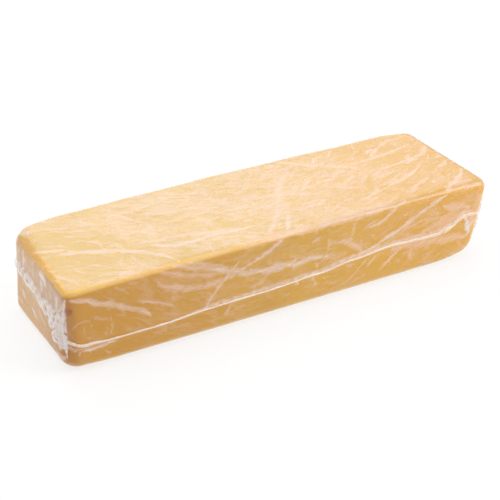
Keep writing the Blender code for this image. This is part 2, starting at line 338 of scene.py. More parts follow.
TOP_WRINKLES = (
    (3.2, 0.60, (-165, 13), (-158, 6), (-150, 3), (-144, 0)),
    (6.0, 0.66, (-164, 43), (-161, 37), (-156, 33)),
    (4.6, 0.80, (-148, -3), (-138, -7), (-128, -11), (-118, -15), (-110, -20), (-100, -26), (-92, -33),
     (-87, -41), (-84, -47)),
    (2.6, 0.60, (-143, -1), (-136, -7), (-130, -12), (-122, -15)),
    (2.2, 0.55, (-128, 3), (-122, 0), (-120, -8)),
    (2.2, 0.38, (-134, 6), (-129, 5)),
    (2.6, 0.42, (-150, 34), (-140, 29), (-130, 25)),
    (4.0, 0.45, (-128, 27), (-118, 24), (-108, 20)),
    (2.2, 0.55, (-105, 21), (-97, 18)),
    (2.2, 0.55, (-138, 15), (-130, 12)),
    (2.2, 0.42, (-120, 17), (-116, 14)),
    (3.2, 0.55, (-106, 11), (-100, 8)),
    (4.0, 0.52, (-100, 30), (-95, 25), (-90, 17), (-84, 9)),
    (7.0, 0.42, (-98, 30), (-85, 27), (-72, 28)),
    (2.0, 0.55, (-140, -22), (-130, -29), (-122, -36), (-118, -41)),
    (1.8, 0.50, (-137, -38), (-126, -41)),
    (1.8, 0.50, (-125, -39), (-120, -44)),
    (3.0, 0.45, (-160, -25), (-155, -35), (-150, -42)),
    (1.8, 0.55, (-158, -45), (-140, -46), (-120, -46), (-110, -46)),
    (2.2, 0.45, (-108, -27), (-108, -38), (-105, -46)),
    (4.0, 0.55, (-96, -15), (-85, -18), (-76, -17), (-66, -20), (-56, -20)),
    (4.4, 0.72, (-91, -21), (-82, -27), (-72, -30), (-60, -29), (-48, -28), (-40, -30), (-28, -31),
     (-20, -30)),
    (3.2, 0.52, (-72, -30), (-66, -36), (-60, -43)),
    (4.2, 0.52, (-80, 20), (-72, 16), (-62, 12), (-52, 11)),
    (3.2, 0.42, (-80, 2), (-68, 2), (-58, -2)),
    (3.6, 0.60, (-66, -20), (-52, -24), (-40, -28)),
    (3.2, 0.50, (-58, -34), (-59, -40), (-58, -47)),
    (2.8, 0.48, (-41, -30), (-32, -34), (-24, -38), (-15, -45)),
    (3.4, 0.42, (-60, 12), (-48, 10), (-40, 8)),
    (3.2, 0.52, (-53, -1), (-44, 1), (-36, 0)),
    (3.2, 0.42, (-52, -5), (-46, -12), (-44, -17)),
    (6.0, 0.38, (-38, 30), (-30, 25), (-24, 20)),
    (4.2, 0.44, (-36, -5), (-25, -3), (-15, -5), (-5, -6)),
    (3.2, 0.48, (-30, -17), (-20, -17), (-8, -16), (0, -14)),
    (7.5, 0.52, (-14, -42), (0, -28), (8, -15), (16, -3), (24, 10), (32, 20), (40, 26)),
    (4.2, 0.66, (-2, -45), (4, -36), (8, -28)),
    (4.0, 0.56, (-44, -46.5), (-10, -47.5), (30, -47.5), (84, -46.5)),
    (2.8, 0.52, (-7, -42), (-2, -34)),
    (2.2, 0.48, (9, 29), (16, 38), (20, 43)),
    (3.2, 0.40, (15, -21), (26, -25), (35, -31)),
    (6.0, 0.38, (0, 20), (12, 15), (22, 11)),
    (5.0, 0.52, (40, 44), (50, 36), (60, 27), (70, 21), (80, 14), (87, 9)),
    (2.8, 0.85, (63, 29), (66, 33), (68.5, 37)),
    (5.0, 0.44, (50, -3), (58, -9), (66, -14), (75, -19)),
    (2.2, 0.58, (65, -40), (72, -37), (79, -34)),
    (2.2, 0.52, (60, -35), (70, -32), (80, -29), (90, -27)),
    (3.2, 0.52, (88, 15), (100, 16), (112, 17), (124, 19), (134, 21), (146, 24)),
    (3.0, 0.55, (106, 19), (113, 24), (120, 30)),
    (3.2, 0.52, (94, -6), (105, -1), (118, 1), (130, 3), (142, 5), (152, 10)),
    (5.0, 0.55, (130, 1), (137, 2)),
    (2.4, 0.46, (129, 5), (135, 10)),
    (2.6, 0.42, (85, -14), (100, -9), (112, -9)),
    (2.8, 0.58, (100, -25), (112, -20), (125, -14)),
    (2.2, 0.44, (80, -24), (95, -21), (106, -18)),
    (3.2, 0.55, (103, -38), (112, -33), (122, -30), (127, -27)),
    (3.2, 0.60, (124, -35), (126, -33)),
    (2.2, 0.44, (100, -41), (110, -37)),
    (4.0, 0.62, (126, -48), (135, -43), (144, -38), (150, -33), (156, -27)),
    (6.0, 0.45, (128, -45), (142, -44), (151, -44)),
    (3.2, 0.52, (142, -17), (150, -14), (154, -11)),
    (4.0, 0.52, (143, 5), (148, 8), (154, 16)),
    (2.2, 0.44, (87, 22), (98, 22)),
    (2.2, 0.40, (80, 33), (85, 41)),
    (2.0, 0.40, (103, 36), (107, 42)),
    (3.2, 0.42, (151, -3), (154, -2)),
    (2.4, 0.45, (24, -26), (36, -24)),
    (2.4, 0.45, (60, 3), (72, 2), (84, 6)),
)
LEFT_WRINKLES = (
    (2.0, 0.80, (-49.5, 60), (-46.5, 55), (-42.8, 49), (-40, 46)),
    (2.8, 1.00, (-49.5, 59), (-47.5, 51), (-46, 43.5), (-44.2, 37.5), (-44.8, 30.5), (-46.8, 22),
     (-49, 12)),
    (5.0, 0.75, (-37, 44), (-36, 50), (-38, 55)),
    (3.0, 0.55, (-27, 45), (-25, 51), (-27, 60)),
    (7.0, 0.85, (-18, 53), (-12, 56), (-5, 55)),
    (4.0, 0.80, (-9, 44), (-8, 50), (-12, 58)),
    (5.0, 0.55, (6, 45), (8, 51), (5, 59)),
    (3.4, 0.85, (27, 45), (24, 51), (26, 56)),
    (4.0, 0.60, (33, 43), (36, 50), (33, 57)),
    (5.0, 0.80, (46, 44), (44, 50), (46, 57)),
    (3.0, 0.80, (15, 18), (10, 16.5), (4, 15)),
    (6.0, 0.60, (34, 22), (30, 20), (26, 19)),
    (6.0, 0.60, (-33, 6), (-40, 10), (-47, 13)),
    (3.0, 0.45, (0, 25), (-7, 22), (-15, 20)),
    (4.0, 0.50, (47, 12), (40, 10), (33, 12)),
)
RIGHT_WRINKLES = (
    (1.6, 0.85, (-48.5, 60), (-45, 52), (-43, 44), (-44, 32), (-48, 22)),
    (2.8, 0.60, (-36, 44), (-34, 51), (-36, 58)),
    (2.6, 0.55, (-24, 44), (-26, 51), (-23, 58)),
    (3.4, 0.60, (-10, 44), (-8, 50), (-11, 57)),
    (2.4, 0.50, (2, 44), (4, 51), (2, 58)),
    (3.0, 0.55, (16, 44), (14, 50), (17, 57)),
    (2.4, 0.50, (30, 43), (32, 50), (30, 56)),
    (3.0, 0.55, (43, 42), (42, 49), (45, 56)),
    (3.4, 0.50, (-30, 16), (-22, 13), (-12, 15)),
    (2.2, 0.50, (6, 20), (16, 16), (26, 17)),
)


def smooth(share):
    """Ease a share, so that it is level at 0 and at 1."""
    share = np.clip(share, 0.0, 1.0)
    return share * share * (3.0 - 2.0 * share)


def eased(value, start, end):
    """0 up to start, 1 from end on and smooth between them. The end may be the lower of the two."""
    return smooth((value - start) / (end - start))


def mix(first, second, share):
    """From the first at share 0 to the second at share 1."""
    return first + (second - first) * share


def read_off(places, x):
    """The value at x, from pairs of a place and its value."""
    return np.interp(x, *zip(*places))


def as_points(x, y, z):
    """Points from their coordinates, where one number may stand for all."""
    return np.stack(np.broadcast_arrays(x, y, z), axis=1)


def edge_radius(points):
    """Rounding at each place: small along the long edges, growing towards each corner."""
    x, y, z = points.T
    back = smooth(y / WIDTH + 0.5)
    up = smooth(z / HEIGHT + 0.5)

    def at_end(end):
        low = mix(CORNER_RADIUS[end, -1, -1], CORNER_RADIUS[end, 1, -1], back)
        high = mix(CORNER_RADIUS[end, -1, 1], CORNER_RADIUS[end, 1, 1], back)
        return mix(low, high, up)

    along = mix(LOW_EDGE_RADIUS, TOP_EDGE_RADIUS, up)
    near_end = smooth((np.abs(x) - HALF[0] + END_ZONE) / END_ZONE)
    return mix(along, np.where(x > 0, at_end(1), at_end(-1)), near_end)


def unevenness(points):
    """The slow waves of the block's skin, which fade out towards its base."""
    x, y, z = points.T
    turn = math.tau / WAVE_LENGTH
    wave = np.sin(turn * (x + 0.6 * y)) + np.sin(turn * (0.7 * y - 0.9 * z + 0.4 * x) + 1.3)
    return WAVE_DEPTH * 0.5 * wave * smooth((z / HEIGHT + 0.5) / WAVE_FADE)


def rounded(points):
    """For points of the sharp box: the middle of its rounding, the way out from there, its radius."""
    radius = edge_radius(points)[:, None]
    core = np.clip(points, radius - HALF, HALF - radius)
    outward = points - core
    outward /= np.linalg.norm(outward, axis=1, keepdims=True)
    return core, outward, radius


def on_block(points, lift):
    """Carry points of the sharp box, from its middle, to the block's skin, raised by lift."""
    core, outward, radius = rounded(points)
    skin = core + outward * (radius + (lift + unevenness(points))[:, None])
    along, across, up = (skin / HALF).T
    swell = 1.0 - np.minimum(np.abs(along), 1.0) ** 2
    placed = np.empty_like(skin)
    end_lean = np.where(along > 0, LEAN_RIGHT, -LEAN_LEFT)
    side_lean = np.where(across > 0, LEAN_BACK, -LEAN_FRONT)
    placed[:, 0] = skin[:, 0] + np.abs(along) * end_lean * up / 2
    placed[:, 1] = skin[:, 1] * (1.0 + WIDTH_TAPER * along) * (1.0 + WIDTH_SWELL * swell)
    placed[:, 1] += np.abs(across) * side_lean * up / 2
    placed[:, 2] = (skin[:, 2] + HALF[2]) * (1.0 + HEIGHT_TAPER * along) * (1.0 + HEIGHT_SWELL * swell)
    return placed + CENTRE_SHIFT + (0.0, 0.0, FOOT_STEP)


def seam_height(x):
    """Height of the seam's lower edge above the base, smooth between its named places."""
    height = np.full(len(x), float(SEAM_COURSE[-1][1]))
    for (x0, z0), (x1, z1) in reversed(list(zip(SEAM_COURSE, SEAM_COURSE[1:]))):
        height = np.where(x <= x1, mix(z0, z1, eased(x, x0, x1)), height)
    return height


def gather_edges(y, lobes_from):
    """Lower and upper edge of a gather's band: it widens towards the front."""
    middle = GATHER_HIGH + GATHER_WANDER * np.sin(y / 13.0)
    drop = CORNER_DROP * eased(y, lobes_from - 18.0, lobes_from - 28.0)
    lower = middle - GATHER_HALF_WIDTH - drop
    lower = lower + 1.1 * np.sin(y / 2.9) * np.sin(y / 6.7 + 1.0) + 0.8 * np.sin(y / 5.1)
    upper = middle + GATHER_HALF_WIDTH + LOBE_RISE * eased(y, lobes_from, lobes_from - 9.0)
    return lower, upper


def gather_depth(y, z, lobes_from):
    """How far inside a gather's outline each place is: its band, and the lobes that hang from it."""
    lower, upper = gather_edges(y, lobes_from)
    depth = np.minimum(z - lower, upper - z)
    for from_start, high, half_long, half_wide in LOBES:
        aside = y - lobes_from - from_start
        above = z - high
        along = (aside * math.cos(LOBE_SLANT) + above * math.sin(LOBE_SLANT)) / half_long
        across = (above * math.cos(LOBE_SLANT) - aside * math.sin(LOBE_SLANT)) / half_wide
        depth = np.maximum(depth, half_wide * (1.0 - np.hypot(along, across)))
    return depth


def gather_folds(y, z):
    """The folds of a gather: -1 in the deepest valley, 1 on the highest crest."""
    slant = (y + FOLD_SLANT * (z - GATHER_HIGH)) / FOLD_PITCH
    bend = 0.27 * np.sin(math.tau * y / 31.0) + 0.14 * np.sin(math.tau * z / 11.0)
    strength = 0.65 + 0.35 * np.sin(math.tau * y / 19.0 + 0.7)
    return strength * np.sin(math.tau * (slant + bend))


def ripple(points, wavelength, seed, octaves=4):
    """Smooth uneven waves over space, about -1 to 1, the same each run."""
    rng = np.random.default_rng(seed)
    total = np.zeros(len(points))
    for octave in range(octaves):
        for _ in range(WAVES_PER_OCTAVE):
            direction = rng.normal(size=3)
            direction /= np.linalg.norm(direction)
            length = wavelength / OCTAVE_SHORTER ** octave * rng.uniform(0.8, 1.25)
            phase = rng.uniform(0.0, math.tau)
            total += OCTAVE_WEAKER ** octave * np.sin(math.tau * (points @ direction) / length + phase)
    return total / WAVES_TO_ONE


def on_face(points, face):
    """Which points of the sharp box lie on a face of it."""
    axis, side = face
    return side * points[:, axis] > HALF[axis] - ON_FACE


def on_end(points):
    """Which points of the sharp box lie on its left or right end."""
    return on_face(points, LEFT) | on_face(points, RIGHT)


def unfold(points, face):
    """Flatten the box onto one face's plane, with the faces round it folded out flat."""
    axis, side = face
    first, second = [k for k in range(3) if k != axis]
    depth = HALF[axis] - side * points[:, axis]
    below = depth > ON_FACE
    flat = points[:, [first, second]].copy()
    on_first = below & (np.abs(flat[:, 0]) > HALF[first] - ON_FACE)
    on_second = below & (np.abs(flat[:, 1]) > HALF[second] - ON_FACE) & ~on_first
    flat[on_first, 0] += np.sign(flat[on_first, 0]) * depth[on_first]
    flat[on_second, 1] += np.sign(flat[on_second, 1]) * depth[on_second]
    flat[below & ~on_first & ~on_second] = FAR_OFF
    if axis != 2:
        flat[:, 1] += HALF[2]
    return flat


def soften(course):
    """Cut the corners of a course twice, so that it bends without kinks."""
    for _ in range(2):
        ahead = course[1:]
        behind = course[:-1]
        pairs = np.stack((0.75 * behind + 0.25 * ahead, 0.25 * behind + 0.75 * ahead), axis=1)
        course = np.vstack((course[:1], pairs.reshape(-1, 2), course[-1:]))
    return course


def draw(flat, wrinkles, shape, white):
    """Add wrinkles to the film: shape is 1 on a wrinkle's middle line and 0 at its edge and beyond."""
    for number, (half_width, whiteness, *course) in enumerate(wrinkles):
        course = soften(np.array(course, float))
        low = course.min(axis=0) - half_width
        high = course.max(axis=0) + half_width
        near = np.flatnonzero(((flat >= low) & (flat <= high)).all(axis=1))
        if not len(near):
            continue
        place = flat[near]
        nearest = np.full(len(near), np.inf)
        travelled = np.zeros(len(near))
        run = 0.0
        for start, end in zip(course, course[1:]):
            step = end - start
            length = np.hypot(*step)
            share = np.clip((place - start) @ step / length ** 2, 0.0, 1.0)
            away = np.hypot(*(place - start - share[:, None] * step).T)
            closer = away < nearest
            nearest[closer] = away[closer]
            travelled[closer] = run + share[closer] * length
            run += length
        share = travelled / run
        taper = np.clip(4.0 * share * (1.0 - share), 0.0, 1.0) ** TAPER_POWER
        waver = np.sin(run * share / 2.6 + number) * np.sin(share * 9.0 + 2.0 * number)
        reach = half_width * np.maximum(LEAST_TAPER, taper) * (1.0 + UNEVEN_WIDTH * waver)
        value = 1.0 - nearest / reach
        better = whiteness * smooth(value / CREST_FROM) > white[near] * smooth(shape[near] / CREST_FROM)
        shape[near[better]] = value[better]
        white[near[better]] = whiteness


def fine_wrinkles(seed, count, area, heading, lengths, half_widths, whites):
    """Short air wrinkles scattered over an area, each lying roughly along the film's pull there."""
    rng = np.random.default_rng(seed)
    (left, right), (low, high) = area
    drawn = []
    for _ in range(count):
        a = rng.uniform(left, right)
        b = rng.uniform(low, high)
        length = rng.uniform(*lengths) * rng.uniform(0.4, 1.0)
        angle = math.radians(heading(a) + rng.normal(0.0, HEADING_SPREAD))
        bend = rng.normal(0.0, BEND_SPREAD) * length
        ahead = np.array((math.cos(angle), math.sin(angle))) * length / 2
        aside = np.array((-math.sin(angle), math.cos(angle))) * bend
        centre = np.array((a, b))
        course = (centre - ahead, centre + aside, centre + ahead)
        drawn.append((rng.uniform(*half_widths), rng.uniform(*whites), *course))
    return drawn


def turned_round(wrinkles):
    """The front's wrinkles turned half round, for the back, which the photo doesn't show."""
    turned = []
    for half_width, whiteness, *course in wrinkles:
        turned.append((half_width, whiteness, *[(-a, HEIGHT - b) for a, b in course]))
    return turned


def long_heading(x):
    """Which way the film's pull runs along the block at x, in degrees."""
    return read_off(HEADINGS, x)


def end_heading(y):
    """Which way the film's pull runs on an end at y, in degrees: nearly upright."""
    return 84.0 + 0.1 * y


def pull_lines(points):
    """How far along and across the film's pull each point lies, unrolled over the long sides."""
    flat = unfold(points, TOP)
    unreached = flat[:, 0] == FAR_OFF
    flat[unreached] = points[unreached, :2]
    steps = np.linspace(-260.0, 260.0, 1041)
    slope = np.tan(np.radians(long_heading(steps)))
    drift = np.cumsum(slope) * (steps[1] - steps[0])
    along = flat[:, 0].copy()
    across = flat[:, 1] - np.interp(flat[:, 0], steps, drift)
    ends = on_end(points)
    along[ends] = 1.6 * points[ends, 2] + ENDS_APART
    across[ends] = 0.3 * points[ends, 1] - 0.1 * points[ends, 2] + ENDS_APART
    return along, across


def haze_amount(points):
    """How much fine haze the film carries: most on the top's middle and above the end gathers."""
    x, y, z = points.T
    high = z + HALF[2]
    clouds = ripple(points, 44.0, 91, octaves=3)
    hazy_edge = eased(x, -10.0, 40.0) * (y < 0.0)
    top = read_off(HAZE_TOP, x) + 0.30 * clouds
    top = top - 0.35 * eased(np.abs(y), 42.0, 48.0) * (1.0 - hazy_edge)
    side = read_off(HAZE_SIDE, x) + 0.26 * clouds - 0.12 * eased(high, 26.0, 18.0)
    side = side + 0.30 * hazy_edge * eased(high, 58.0, 62.0)
    under = HAZE_UNDER + 0.2 * clouds
    end = read_off(HAZE_END, high) + 0.2 * clouds
    haze = np.where(on_face(points, TOP), top, np.where(on_face(points, UNDER), under, side))
    return np.clip(np.where(on_end(points), end, haze), 0.0, 1.0)


def film_marks(points):
    """Shape and whiteness of the air wrinkles at each point of the film."""
    shape = np.zeros(len(points))
    white = np.full(len(points), WHITE_BETWEEN)
    warp = np.stack([ripple(points, 13.0, seed) for seed in (31, 32)], axis=1) * 0.5
    faces = (
        (TOP, TOP_WRINKLES),
        (TOP, fine_wrinkles(5, 260, (ALONG, ACROSS), long_heading, (4, 20), (1.1, 2.8), (0.25, 0.6))),
        (FRONT, FRONT_WRINKLES),
        (FRONT, fine_wrinkles(6, 60, (ALONG, UP), long_heading, (4, 16), (0.9, 1.7), (0.15, 0.35))),
        (BACK, turned_round(FRONT_WRINKLES)),
        (BACK, fine_wrinkles(7, 70, (ALONG, UP), long_heading, (4, 18), (0.9, 1.8), (0.15, 0.4))),
        (UNDER, fine_wrinkles(8, 150, (ALONG, ACROSS), long_heading, (8, 40), (1.2, 3.2), (0.3, 0.6))),
        (LEFT, LEFT_WRINKLES),
        (LEFT, fine_wrinkles(9, 26, (ACROSS, (42, 60)), end_heading, (4, 12), (1.0, 2.0), (0.4, 0.7))),
        (RIGHT, RIGHT_WRINKLES),
        (RIGHT, fine_wrinkles(10, 30, (ACROSS, (5, 60)), end_heading, (4, 12), (1.0, 2.0), (0.3, 0.55))),
    )
    for face, wrinkles in faces:
        draw(unfold(points, face) + warp, wrinkles, shape, white)
    return shape, white


def show(name, data):
    """Put a mesh, a light or a camera in the scene as an object."""
    shown = bpy.data.objects.new(name, data)
    bpy.context.scene.collection.objects.link(shown)
    return shown


def aim(shown, direction):
    """Turn a light or the camera to look in a direction."""
    shown.rotation_euler = direction.to_track_quat("-Z", "Y").to_euler()


def keep_values(mesh, **values):
    """Store named numbers on the mesh's points, for its material."""
    for name, numbers in values.items():
        attribute = mesh.attributes.new(name, "FLOAT", "POINT")
        attribute.data.foreach_set("value", np.asarray(numbers, dtype=np.float32))


def finish_mesh(name, mesh, points):
    """Put the points, given in millimetres, on the mesh and show it as a smooth object facing out."""
    mesh.vertices.foreach_set("co", (points * MM).astype(np.float32).ravel())
    mesh.update()
    middle = mesh.polygons[len(mesh.polygons) // 2]
    inside = Vector((middle.center.x * 0.9, 0.0, HALF[2] * MM))
    if middle.normal.dot(middle.center - inside) < 0.0:
        mesh.flip_normals()
    mesh.shade_smooth()
    return show(name, mesh)


def mesh_from(name, shape):
    """Turn a finished bmesh into a mesh."""
    mesh = bpy.data.meshes.new(name)
    shape.to_mesh(mesh)
    shape.free()
    return mesh


def mesh_points(mesh):
    """The mesh's points as rows of three coordinates."""
    points = np.empty(len(mesh.vertices) * 3, dtype=np.float32)
    mesh.vertices.foreach_get("co", points)
    return points.reshape(-1, 3).astype(float)


def box_mesh(name, spacing):
    """A closed box of the block's size, of even squares, as a mesh and its points from its middle."""
    shape = bmesh.new()
    for axis in range(3):
        first, second = [k for k in range(3) if k != axis]
        counts = [max(2, round(2 * HALF[k] / spacing)) for k in (first, second)]
        for side in (-1.0, 1.0):
            made = bmesh.ops.create_grid(shape, x_segments=counts[0], y_segments=counts[1], size=0.5)
            for vertex in made["verts"]:
                place = [0.0, 0.0, 0.0]
                place[first], place[second] = vertex.co[0], vertex.co[1]
                place[axis] = side * 0.5
                vertex.co = place
    bmesh.ops.remove_doubles(shape, verts=shape.verts[:], dist=1e-5)
    bmesh.ops.recalc_face_normals(shape, faces=shape.faces[:])
    mesh = mesh_from(name, shape)
    return mesh, mesh_points(mesh) * 2.0 * HALF


def strip_mesh(name, columns, rows):
    """A flat grid as a mesh, with each point's share along and across it."""
    shape = bmesh.new()
    bmesh.ops.create_grid(shape, x_segments=columns, y_segments=rows, size=0.5)
    mesh = mesh_from(name, shape)
    shares = mesh_points(mesh)[:, :2] + 0.5
    return mesh, shares[:, 0], shares[:, 1]


class Graph:
    """A short way to write a material's nodes."""

    def __init__(self, name):
        self.material = bpy.data.materials.new(name)
        self.material.use_nodes = True
        self.tree = self.material.node_tree
        self.tree.nodes.clear()

    def node(self, kind, settings=None, **sockets):
        """A new node, with its settings, and its sockets fed by their names."""
        made = self.tree.nodes.new(kind)
        for key, value in (settings or {}).items():
            setattr(made, key, value)
        for key, value in sockets.items():
            self.feed(made.inputs[key.replace("_", " ")], value)
        return made

    def feed(self, socket, value):
        """Link an output to a socket, or set a plain value on it."""
        if isinstance(value, bpy.types.NodeSocket):
            self.tree.links.new(value, socket)
        else:
            socket.default_value = value

    def feed_all(self, sockets, values):
        for socket, value in zip(sockets, values):
            self.feed(socket, value)

    def stored(self, name):
        """A number that the mesh keeps at its points."""
        return self.node("ShaderNodeAttribute", {"attribute_name": name}).outputs["Fac"]

    def math(self, operation, *values, clamp=False):
        made = self.node("ShaderNodeMath", {"operation": operation, "use_clamp": clamp})
        self.feed_all(made.inputs, values)
        return made.outputs[0]

    def ramp(self, value, low, high, to_low=0.0, to_high=1.0):
        made = self.node("ShaderNodeMapRange", {"interpolation_type": "SMOOTHSTEP"})
        self.feed_all(made.inputs, (value, low, high, to_low, to_high))
        return made.outputs[0]

    def noise(self, vector, scale, detail=3.0, rough=0.55, twist=0.0):
        made = self.node(
            "ShaderNodeTexNoise",
            Vector=vector, Scale=scale, Detail=detail, Roughness=rough, Distortion=twist,
        )
        return made.outputs[0]

    def mix_colour(self, share, first, second):
        made = self.node("ShaderNodeMix", {"data_type": "RGBA"})
        self.feed_all([made.inputs[k] for k in COLOUR_MIX_INPUTS], (share, first, second))
        return made.outputs[COLOUR_MIX_OUTPUT]

    def mix_shader(self, share, first, second):
        made = self.node("ShaderNodeMixShader")
        self.feed_all(made.inputs, (share, first, second))
        return made.outputs[0]

    def finish(self, shader):
        output = self.node("ShaderNodeOutputMaterial")
        self.tree.links.new(shader, output.inputs["Surface"])
        return self.material


def cheese_material():
    """Blotched, curdy cheese with painted light and shade: lit top and rim, darker left side and corner,
    a shadow spot.
    """
    g = Graph("cheese")
    place = g.node("ShaderNodeTexCoord").outputs["Object"]
    blotches = g.noise(place, 38.0, 4.0)
    curd = g.noise(place, 210.0, 3.0)
    share = g.math("ADD", g.math("MULTIPLY", blotches, 0.7), g.math("MULTIPLY", curd, 0.3))
    patchy = g.ramp(share, 0.34, 0.66)
    parts = g.node("ShaderNodeSeparateXYZ", Vector=place)
    x = parts.outputs["X"]
    y = parts.outputs["Y"]
    # Painted light: the top takes a paler, lit copy of the cheese colour
    top = g.mix_colour(patchy, CHEESE_LIT_TOP_DEEP, CHEESE_LIT_TOP_PALE)
    top = g.mix_colour(g.ramp(x, -0.05, 0.15), top, CHEESE_LIT_TOP_RIGHT)
    top = g.mix_colour(g.ramp(x, -0.10, -0.15, 0.0, 0.8), top, CHEESE_LIT_TOP_LEFT)
    side = g.mix_colour(patchy, CHEESE_DEEP, CHEESE_PALE)
    # Painted shade towards the left and painted light towards the right
    side = g.mix_colour(g.ramp(x, 0.06, -0.16, 0.0, 0.75), side, CHEESE_SHADED_LEFT)
    side = g.mix_colour(g.ramp(x, -0.03, 0.12, 0.0, 0.85), side, CHEESE_LIT_RIGHT)
    # Painted shade on the front-left vertical corner
    painted_corner_shade = g.math("MULTIPLY", g.ramp(x, -0.150, -0.164), g.ramp(y, 0.012, -0.040))
    side = g.mix_colour(painted_corner_shade, side, CHEESE_PAINTED_CORNER_SHADE)
    upward = g.stored("upward")
    # The faces that look up take the top's paler colours, which are painted light
    colour = g.mix_colour(g.ramp(upward, 0.3, 0.8), side, top)
    # Painted light along the rounded top edge of the left half, strongest at the front
    rim = g.math("MULTIPLY", g.ramp(upward, 0.2, 0.5), g.ramp(upward, 0.995, 0.88))
    rim = g.math("MULTIPLY", rim, g.ramp(x, -0.02, 0.05, 0.85, 0.0))
    rim = g.math("MULTIPLY", rim, g.ramp(y, 0.045, -0.010, 0.4, 1.0))
    rim_light_colour = g.mix_colour(g.ramp(x, -0.153, -0.161), CHEESE_PAINTED_RIM_LIGHT, CHEESE_PAINTED_RIM_LIGHT_LEFT)
    colour = g.mix_colour(rim, colour, rim_light_colour)
    # Painted shadow: a small dark spot on the front near the left corner
    spot = on_block(as_points([SHADOW_SPOT_ALONG], -HALF[1], SHADOW_SPOT_HIGH - HALF[2]), np.zeros(1))[0] * MM
    shadow_spot = g.node("ShaderNodeVectorMath", {"operation": "DISTANCE"})
    g.feed_all(shadow_spot.inputs, (place, list(spot)))
    jagged = g.math("MULTIPLY", g.noise(place, 420.0, 2.0), SHADOW_SPOT_JAGGED)
    ragged = g.math("ADD", shadow_spot.outputs["Value"], jagged)
    colour = g.mix_colour(g.ramp(ragged, *SHADOW_SPOT_EDGE, 0.9, 0.0), colour, CHEESE_PAINTED_SHADOW_SPOT)
    dents = g.noise(place, 160.0, 4.0)
    bump = g.node("ShaderNodeBump", Height=dents, Strength=0.25, Distance=BUMP_DEPTH)
    shader = g.node(
        "ShaderNodeBsdfPrincipled",
        Base_Color=colour, Roughness=0.5, Normal=bump.outputs[0], Specular_IOR_Level=0.15,
        Subsurface_Weight=0.45, Subsurface_Radius=(1.0, 0.5, 0.18), Subsurface_Scale=0.005,
    )
    return g.finish(shader.outputs[0])


def film_material(name, clear, full, colour=FILM_WARM, ragged_by=0.4, crinkle=0.3, hazy=0.0):
    """Clear film, whitish where its air value is high: clear and full give how much it hides."""
    g = Graph(name)
    place = g.node("ShaderNodeTexCoord").outputs["Object"]
    air = g.stored("air")
    white = g.stored("white")
    grain = g.noise(place, 520.0, 4.0, 0.65)
    ragged = g.math("MULTIPLY_ADD", g.math("SUBTRACT", grain, 0.5), ragged_by, air)
    if hazy:
        along = g.math("DIVIDE", g.stored("along"), THREAD_LONG)
        across = g.math("DIVIDE", g.stored("across"), THREAD_WIDE)
        pull = g.node("ShaderNodeCombineXYZ", X=along, Y=across)
        threads = g.noise(pull.outputs[0], 1.0, 2.0, 0.5, twist=1.0)
        ragged = g.math("MULTIPLY_ADD", g.math("SUBTRACT", threads, 0.5), 1.3, ragged)
        # Where the film is bunched on the ends it takes a veil, and the grey that is painted shade
        bunched = g.stored("bunched")
        colour = g.mix_colour(bunched, colour, FILM_SHADED_GREY)
        colour = g.mix_colour(g.ramp(white, 0.5, 0.9), colour, FILM_WHITE)
        # Painted shade: a dimmer copy of the film colour on the top
        colour = g.mix_colour(g.stored("upward"), colour, FILM_SHADED_TOP)
    edge = g.math("MULTIPLY", g.ramp(ragged, *AIR_AT_EDGE), 0.66)
    crest = g.math("MULTIPLY", g.ramp(ragged, *AIR_AT_CREST), 0.34)
    body = g.math("MULTIPLY", g.math("ADD", edge, crest), white)
    if hazy:
        haze = g.stored("haze")
        level = g.math("MULTIPLY_ADD", haze, 0.26, threads)
        level = g.math("MULTIPLY_ADD", g.math("SUBTRACT", grain, 0.5), 0.06, level)
        veil = g.math("MULTIPLY", g.ramp(level, *LEVEL_OF_VEIL), hazy)
        veil = g.math("MULTIPLY", veil, g.math("MULTIPLY_ADD", haze, 0.7, 0.3))
        veil = g.math("MAXIMUM", veil, g.math("MULTIPLY", bunched, BUNCHED_VEIL))
        body = g.math("MAXIMUM", body, veil)
    cover = g.math("MULTIPLY_ADD", body, full, clear, clamp=True)
    crinkles = g.noise(place, 170.0, 4.0, 0.6)
    bump = g.node("ShaderNodeBump", Height=crinkles, Strength=crinkle, Distance=BUMP_DEPTH)
    fog = g.node("ShaderNodeBsdfPrincipled", Base_Color=colour, Roughness=0.5, Normal=bump.outputs[0])
    see_through = g.node("ShaderNodeBsdfTransparent", Color=WHITE)
    sheet = g.mix_shader(cover, see_through.outputs[0], fog.outputs[0])
    gloss = g.node("ShaderNodeBsdfGlossy", Color=WHITE, Roughness=0.3, Normal=bump.outputs[0])
    facing = g.node("ShaderNodeLayerWeight", Blend=0.5, Normal=bump.outputs[0]).outputs["Facing"]
    gleam = g.math("MULTIPLY_ADD", g.math("POWER", facing, GLOSS_POWER), GLOSS_GLANCING, GLOSS_FACING)
    return g.finish(g.mix_shader(gleam, sheet, gloss.outputs[0]))


def fit(piece, slot, material):
    """Tie a finished piece to the part: give it its material, set whether it throws a shadow, tie it to
    the body and hide the solid it stands for.
    """
    piece.data.materials.append(material)
    # The film is clear, so it throws no shadow on the cheese and the floor
    piece.visible_shadow = slot != "film"
    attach(piece, "root")
    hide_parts(NODE)
    return piece


def make_cheese():
    """The block of cheese, just inside the film."""
    mesh, points = box_mesh("cheese", CHEESE_SPACING)
    placed = on_block(points, np.full(len(points), -CHEESE_INSET))
    outward = rounded(points)[1]
    keep_values(mesh, upward=outward[:, 2])
    return fit(finish_mesh("cheese", mesh, placed), "cheese", cheese_material())


